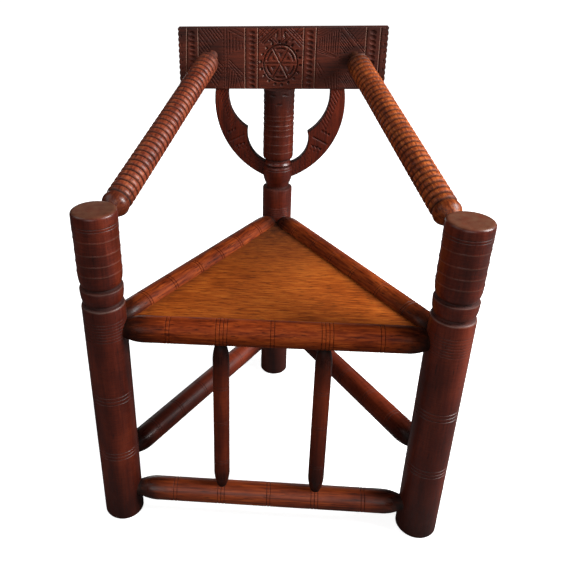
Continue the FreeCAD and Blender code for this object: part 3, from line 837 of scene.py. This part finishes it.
# Columns of chips, of small nicks and of nicks down the board's ends
CHIP_PITCH = 9.3
CHIP_COUNT = 12
for x in (-174, -57.5, 54, 172):
    for index in range(CHIP_COUNT):
        board.gouge(x, 5.5 + CHIP_PITCH * index, -14, length=13.0, width=8.0, depth=1.7, lean=0.6)
NICK_PITCH = 6.4
NICK_COUNT = 18
for x in (-112.5, 111.5):
    for index in range(NICK_COUNT):
        board.gouge(x, 4 + NICK_PITCH * index, 82, length=4.6, width=2.2, depth=0.9)
END_NICK_X = 194.5
END_NICK_PITCH = 15.6
END_NICK_COUNT = 8
for side in (LEFT, RIGHT):
    for index in range(END_NICK_COUNT):
        board.gouge(side * END_NICK_X, 8 + END_NICK_PITCH * index, 80, length=5.0, width=3.4, depth=1.1)

# Hatched panels: left outer, left inner, right inner, right outer
board.hatch([(-161, 68), (-149, 52)], [(-161, 111), (-138, 80)], 6, 1.2, 1.1)
board.hatch([(-156, 117), (-133, 86)], [(-124, 117), (-112, 102)], 6, 1.2, 1.1)
board.hatch([(-130, 61), (-114.5, 44)], [(-138, 18), (-126, 1)], 7)
board.hatch([(-101, 108), (-101, 68)], [(-76.5, 88), (-76.5, 80)], 5, 1.3, 1.1)
board.hatch([(-103, 114), (-74, 99)], [(-92, 116), (-74, 107)], 2)
board.hatch([(-102, 57), (-73, 29)], [(-103, 47), (-80, 20)], 3)
board.hatch([(-108, 42), (-109, 2)], [(-86, 30), (-91, 2)], 5)
board.hatch([(-86, 26), (-79, 3)], [(-76, 20), (-73, 7)], 2)
board.hatch([(69, 98), (107, 116)], [(69, 112), (80, 117)], 4)
board.hatch([(107, 112), (106, 66)], [(72, 96), (72, 81)], 9, 1.2, 1.0)
board.hatch([(69, 79), (104, 63)], [(69, 71), (104, 61)], 3)
board.hatch([(84, 20), (89, 1)], [(107, 32), (108, 1)], 5)
board.hatch([(70, 52), (84, 30)], [(70, 30), (76, 20)], 3)
board.hatch([(116, 117), (158, 69)], [(120.5, 117), (158.5, 74)], 2, 1.2, 1.1)
board.hatch([(113, 108), (137, 80)], [(112, 80), (121, 69)], 6, 1.2, 1.1)
board.hatch([(123, 109), (130, 117)], [(135, 95), (156, 117)], 4)
board.hatch([(139, 90), (158, 110)], [(151, 76), (158, 83)], 4)
board.hatch([(112, 26), (128, 3)], [(128, 34), (148, 3)], 6)

# Middle panel: crossed chevrons over a leaf
board.hatch([(-41, 92), (-15, 117)], [(-35, 86), (-8, 111)], 3, 1.5, 1.7)
board.hatch([(-44, 99), (-26, 117)], [(-44, 104), (-31, 117)], 2, 1.3, 1.4)
board.hatch([(8, 117), (41, 84)], [(19, 117), (41, 95)], 3, 1.2, 1.1)
board.groove([(5, 112), (36, 81)], 1.2, 1.1)
board.hatch([(-42, 115), (-26, 101)], [(-34, 116), (-21, 105)], 2)
board.hatch([(41, 113), (25, 99)], [(34, 117), (20, 104)], 2, 1.4, 1.6)
board.hatch([(-20, 98), (-2, 82)], [(-14, 99), (-2, 88)], 2)
board.hatch([(-2, 82), (16, 98)], [(-2, 88), (10, 99)], 2, 1.4, 1.6)
board.groove([(-2, 116), (-2, 93)], 1.2, 1.0)
for side in (LEFT, RIGHT):
    board.gouge(side * 7.5 - 2, 104, 90 + side * 8, length=16, width=5.0, depth=1.8)
    # Beside each upright gouge a pale stroke: a painted highlight
    board.rub_and_highlight([(side * 7.5 - 3.4, 101), (side * 7.5 - 3.2, 104)], half=1.4, strength=0.5)
    board.gouge(side * 20.5 - 1.5, 93, side * 20, length=10, width=5.0, depth=1.7)
    board.gouge(side * 37.5 - 1, 102, 90, length=6, width=4.4, depth=1.5)

# Roundel, a little taller than wide: a rim, six spokes, an arc and a chip in
# each sector, a ring of dots outside, and pale edges that are worn and painted with highlights
ROUNDEL_X = -1.7
ROUNDEL_Z = 49.8
ROUNDEL_WIDE = 32.6
ROUNDEL_TALL = 35.2
SECTORS = 6
ARC_HALF_DEGREES = 18
CHIP_HALF_DEGREES = 15
DOTS = 18
DOT_SHARE = 1.18
LOWEST_DOT = 8


def on_roundel(share, degrees):
    """A point at a share of the roundel's radius."""
    angle = math.radians(degrees)
    return (ROUNDEL_X + share * ROUNDEL_WIDE * math.cos(angle),
            ROUNDEL_Z + share * ROUNDEL_TALL * math.sin(angle))


def roundel_arc(share, start, end, steps=12):
    return [on_roundel(share, angle) for angle in np.linspace(start, end, steps)]


board.groove(roundel_arc(1.0, 0, 360, 48), half=2.3, depth=2.6)
for sector in range(SECTORS):
    spoke = 360 / SECTORS * sector
    middle = spoke + 180 / SECTORS
    arc = roundel_arc(0.8, middle - ARC_HALF_DEGREES, middle + ARC_HALF_DEGREES)
    board.groove(arc, half=2.6, depth=2.4)
    board.chip([on_roundel(0.28, middle), on_roundel(0.62, middle - CHIP_HALF_DEGREES),
                on_roundel(0.62, middle + CHIP_HALF_DEGREES)], depth=1.4)
    board.groove([on_roundel(0.02, spoke), on_roundel(0.92, spoke)], half=1.7, depth=1.7)
for low_angle, high_angle in ((15, 75), (175, 255)):
    board.rub_and_highlight(roundel_arc(0.95, low_angle, high_angle), half=1.1, strength=0.28)
for angle, strength in ((120, 0.3), (300, 0.18)):
    x, z = on_roundel(0.85, angle)
    board.rub_and_highlight([(ROUNDEL_X - 0.8, ROUNDEL_Z - 0.4), (x - 0.8, z - 0.4)], 1.3, strength)
for index in range(DOTS):
    angle = 360 / DOTS * index + 15
    x, z = on_roundel(DOT_SHARE, angle)
    if z > LOWEST_DOT:
        board.gouge(x, z, angle, length=7.0, width=5.6, depth=2.4, lean=-0.5)
        # Dots on the left get a pale spot on their left side: a painted highlight
        if x < ROUNDEL_X - 12:
            board.rub_and_highlight([(x - 1.4, z), (x - 1.0, z)], half=1.9, strength=0.8)

# Long edges, rounded a little by wear and dark with grime
edge = np.minimum(board.z, BOARD_HEIGHT - board.z)
board.cut(np.clip((0.8 - edge) * 0.7, 0, 0.5))
board.grime_and_shade = np.maximum(board.grime_and_shade, 0.9 * np.clip(1 - edge / 1.2, 0, 1))


def notched(x, z):
    """The board's ends, cut into shallow waves."""
    wave = 0.5 - 0.5 * np.cos(2 * math.pi * z / NOTCH_PITCH)
    pull = NOTCH_DEPTH * np.clip(wave, 0, 1) ** 2
    share = np.clip((np.abs(x) - BOARD_WIDTH / 2 + NOTCH_REACH) / NOTCH_REACH, 0, 1)
    return x - np.sign(x) * pull * share


board.x = notched(board.x, board.z) + BOARD_SHIFT
board.z = board.z + SHOULDER + 0.05
slab("back_board", board, BOARD_HALF_DEPTH, board_oak, 21.0, along_x=True)

# Braces: two crescents, each drawn from the board down to the rear post. An
# arc is its two ends and how far it stands off its chord, and the inner edge
# is two arcs that meet in a cusp. z is measured from the board's lower edge.
BRACE_ROWS = 190
UPPER_ROWS = int(BRACE_ROWS * 0.46)
BRACE_COLUMNS = 40
BRACE_HALF_DEPTH = 9.9
BRACE_CUSP = {LEFT: (62.2, -80.7), RIGHT: (58.8, -89.4)}
BRACE_OUTER = {LEFT: ((126.6, 0), (20, -186.0), 36.6), RIGHT: ((128.0, 0), (20, -188.0), 39.6)}
BRACE_UPPER = {LEFT: ((100.2, 0), BRACE_CUSP[LEFT], 13.3), RIGHT: ((99.7, 0), BRACE_CUSP[RIGHT], 14.0)}
BRACE_LOWER = {
    LEFT: (BRACE_CUSP[LEFT], (20, -155.6), 15.4),
    RIGHT: (BRACE_CUSP[RIGHT], (20, -157.4), 16.8),
}
MARKS_DROP = {LEFT: 0.96, RIGHT: 1.0}
BAND_DEPTH = {LEFT: 1.2, RIGHT: 2.0}
BRACE_CHIPS = 3
CHIP_CORNERS = ((66, -113), (70, -122), (75, -116.5))
NICK_COLUMNS = 9
NICK_ROWS = 3


def belly_arc(start, end, belly, count):
    """Points of an arc that stands off its chord, away from the post."""
    (x, z), (to_x, to_z) = start, end
    run = math.hypot(to_x - x, to_z - z)
    radius = (run ** 2 / 4 + belly ** 2) / (2 * belly)
    reach = math.asin(run / 2 / radius)
    angles = np.linspace(-reach, reach, count)
    along = radius * np.sin(angles) + run / 2
    away = radius * np.cos(angles) - radius + belly
    course = ((to_x - x) / run, (to_z - z) / run)
    return x + along * course[0] - away * course[1], z + along * course[1] + away * course[0]


for side, node in ((LEFT, "left_brace"), (RIGHT, "right_brace")):
    outer = belly_arc(*BRACE_OUTER[side], BRACE_ROWS)
    upper = belly_arc(*BRACE_UPPER[side], UPPER_ROWS)
    lower = belly_arc(*BRACE_LOWER[side], BRACE_ROWS - UPPER_ROWS + 1)
    inner = [np.concatenate([upper[axis], lower[axis][1:]]) for axis in (0, 1)]
    across = np.linspace(0, 1, BRACE_COLUMNS)[None, :]
    x = inner[0][:, None] + across * (outer[0] - inner[0])[:, None]
    z = inner[1][:, None] + across * (outer[1] - inner[1])[:, None]
    brace = Carving(x[::-1], z[::-1])
    drop = MARKS_DROP[side]
    brace.hatch([(110, 4), (120, -12 * drop)], [(86, -67 * drop), (95, -82 * drop)], 11, 1.3, 1.1)
    for index in range(BRACE_CHIPS):
        fall = 3 * index
        corners = [(chip_x + 7.5 * index, (chip_z - fall) * drop) for chip_x, chip_z in CHIP_CORNERS]
        brace.chip(corners, depth=2.2, slope=1.4)
        brace.gouge(89 + 6.3 * index, (-86 - 3.4 * index) * drop, -65, length=7.0, width=4.4, depth=1.8)
        brace.gouge(65 + 8 * index, (-124 - fall) * drop, 60, length=5.0, width=2.6, depth=1.0)
    brace.groove([(71, -98.5 * drop), (98, -113 * drop)], half=2.4, depth=BAND_DEPTH[side])
    for column in range(NICK_COLUMNS):
        for row in range(NICK_ROWS):
            nick_z = (-134 - 3.4 * column - 7 * row) * drop
            brace.gouge(62 - 5 * column + 4 * row, nick_z, 50, length=3.4, width=2.2, depth=0.7)
    width = np.hypot(outer[0] - inner[0], outer[1] - inner[1])[::-1, None]
    rim = np.minimum(across, 1 - across) * width
    brace.cut(np.clip((1.4 - rim) * 0.8, 0, 1.1))
    rim_dirt = 0.7 * np.clip(1 - rim / 2.6, 0, 1)
    foot_dirt = 0.85 * np.clip(1.3 - brace.x / 45, 0, 1) ** 1.3
    brace.grime_and_shade = np.maximum(rim_dirt, foot_dirt)
    brace.z = brace.z + SHOULDER
    if side == LEFT:
        brace.x = -brace.x[:, ::-1]
        brace.z = brace.z[:, ::-1]
        brace.depth = brace.depth[:, ::-1]
        brace.grime_and_shade = brace.grime_and_shade[:, ::-1]
    slab(node, brace, BRACE_HALF_DEPTH, brace_oak, 23.0 + side, along_x=False)

# Pieces that stay as the CAD made them
CAD_PIECES = {"front_seat_board": seat_oak, "rear_seat_board": seat_oak, "board_pegs": peg_oak,
              "brace_pegs": peg_oak}
for node, material in CAD_PIECES.items():
    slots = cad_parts[node].data.materials
    slots.clear()
    slots.append(material)

# Floor: white to the camera with the chair's soft shadow on it, and a dull
# grey floor to every other ray, so that it does not light the dark wood
FLOOR_HALF = 20.0
FLOOR_SEEN = (0.86, 0.86, 0.86, 1)
FLOOR_UNSEEN = (0.1, 0.1, 0.1, 1)
WHITE = (1, 1, 1, 1)
bpy.ops.mesh.primitive_plane_add(size=2 * FLOOR_HALF, location=(0, 0, 0))
floor = bpy.context.object
floor.name = "floor"
floor_shader = Shader("floor_white")
seen = floor_shader.node("ShaderNodeLightPath").outputs["Is Camera Ray"]
spot = floor_shader.node("ShaderNodeTexCoord").outputs["Object"]
from_chair = floor_shader.vector("DISTANCE", spot, (0, 0, 0))
glow = floor_shader.remap(from_chair, 0.35, 0.75, 0.82, 1.0)
floor_shader.fill(floor_shader.surface, Base_Color=floor_shader.mix(seen, FLOOR_UNSEEN, FLOOR_SEEN),
                  Roughness=0.9, Specular_IOR_Level=0.1, Emission_Color=WHITE,
                  Emission_Strength=floor_shader.maths("MULTIPLY", seen, glow))
floor.data.materials.append(floor_shader.material)
floor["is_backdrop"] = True


# Lights
def soft_light(name, place, target, width, height, watts):
    light = bpy.data.lights.new(name, "AREA")
    light.shape = "RECTANGLE"
    light.size = width
    light.size_y = height
    light.energy = watts
    lamp = bpy.data.objects.new(name, light)
    bpy.context.scene.collection.objects.link(lamp)
    lamp.location = place
    lamp.rotation_euler = (Vector(target) - Vector(place)).to_track_quat("-Z", "Y").to_euler()


soft_light("window_light", (2.3, -0.35, 1.85), (0, 0, 0.4), 1.3, 1.3, 148)
soft_light("front_fill", (-0.4, -2.8, 1.7), (0, 0, 0.4), 2.4, 1.6, 26)
soft_light("left_fill", (-1.9, -0.5, 2.1), (0, 0, 0.5), 1.6, 1.6, 12)
soft_light("back_fill", (-0.5, 2.7, 0.4), (0, 0, 0.5), 2.4, 0.8, 11)

# World: a faint even sky for the chair, and white behind it for the camera
SKY_STRENGTH = 0.035
world = bpy.data.worlds.new("studio")
bpy.context.scene.world = world
world.use_nodes = True
tree = world.node_tree
sky = tree.nodes["Background"]
white = tree.nodes.new("ShaderNodeBackground")
for background, strength in ((sky, SKY_STRENGTH), (white, 1.0)):
    background.inputs["Color"].default_value = WHITE
    background.inputs["Strength"].default_value = strength
seen = tree.nodes.new("ShaderNodeLightPath").outputs["Is Camera Ray"]
mixed = tree.nodes.new("ShaderNodeMixShader")
for socket, source in enumerate((seen, sky.outputs[0], white.outputs[0])):
    tree.links.new(source, mixed.inputs[socket])
tree.links.new(mixed.outputs[0], tree.nodes["World Output"].inputs["Surface"])

# Camera: found by fitting the chair's own lines to the photograph, which is
# 565 pixels square. The photograph's optical centre lies off its middle, so
# the shift below is only what that framing needs.
PICTURE = 565
FOCAL_PIXELS = 677.0
CENTRE_X = 220.6
CENTRE_Y = 244.7
YAW = 0.0925
PITCH = 0.4583
ROLL = -0.0103
CAMERA_PLACE = Vector((-0.15, -1126.95, 998.9)) * MM
SENSOR = 36.0

camera_data = bpy.data.cameras.new("camera")
camera = bpy.data.objects.new("camera", camera_data)
bpy.context.scene.collection.objects.link(camera)
camera_data.sensor_width = SENSOR
camera_data.lens = FOCAL_PIXELS * SENSOR / PICTURE
camera_data.shift_x = (PICTURE / 2 - CENTRE_X) / PICTURE
camera_data.shift_y = (CENTRE_Y - PICTURE / 2) / PICTURE
camera_data.clip_end = 100
right = Vector((math.cos(YAW), math.sin(YAW), 0))
ahead = Vector((-math.sin(YAW) * math.cos(PITCH), math.cos(YAW) * math.cos(PITCH), -math.sin(PITCH)))
upward = right.cross(ahead)
rolled_right = math.cos(ROLL) * right + math.sin(ROLL) * upward
rolled_up = math.cos(ROLL) * upward - math.sin(ROLL) * right
turn = Matrix((rolled_right, rolled_up, -ahead)).transposed()
camera.matrix_world = Matrix.Translation(CAMERA_PLACE) @ turn.to_4x4()
bpy.context.scene.camera = camera

bpy.context.scene.view_settings.view_transform = "Standard"

low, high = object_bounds()
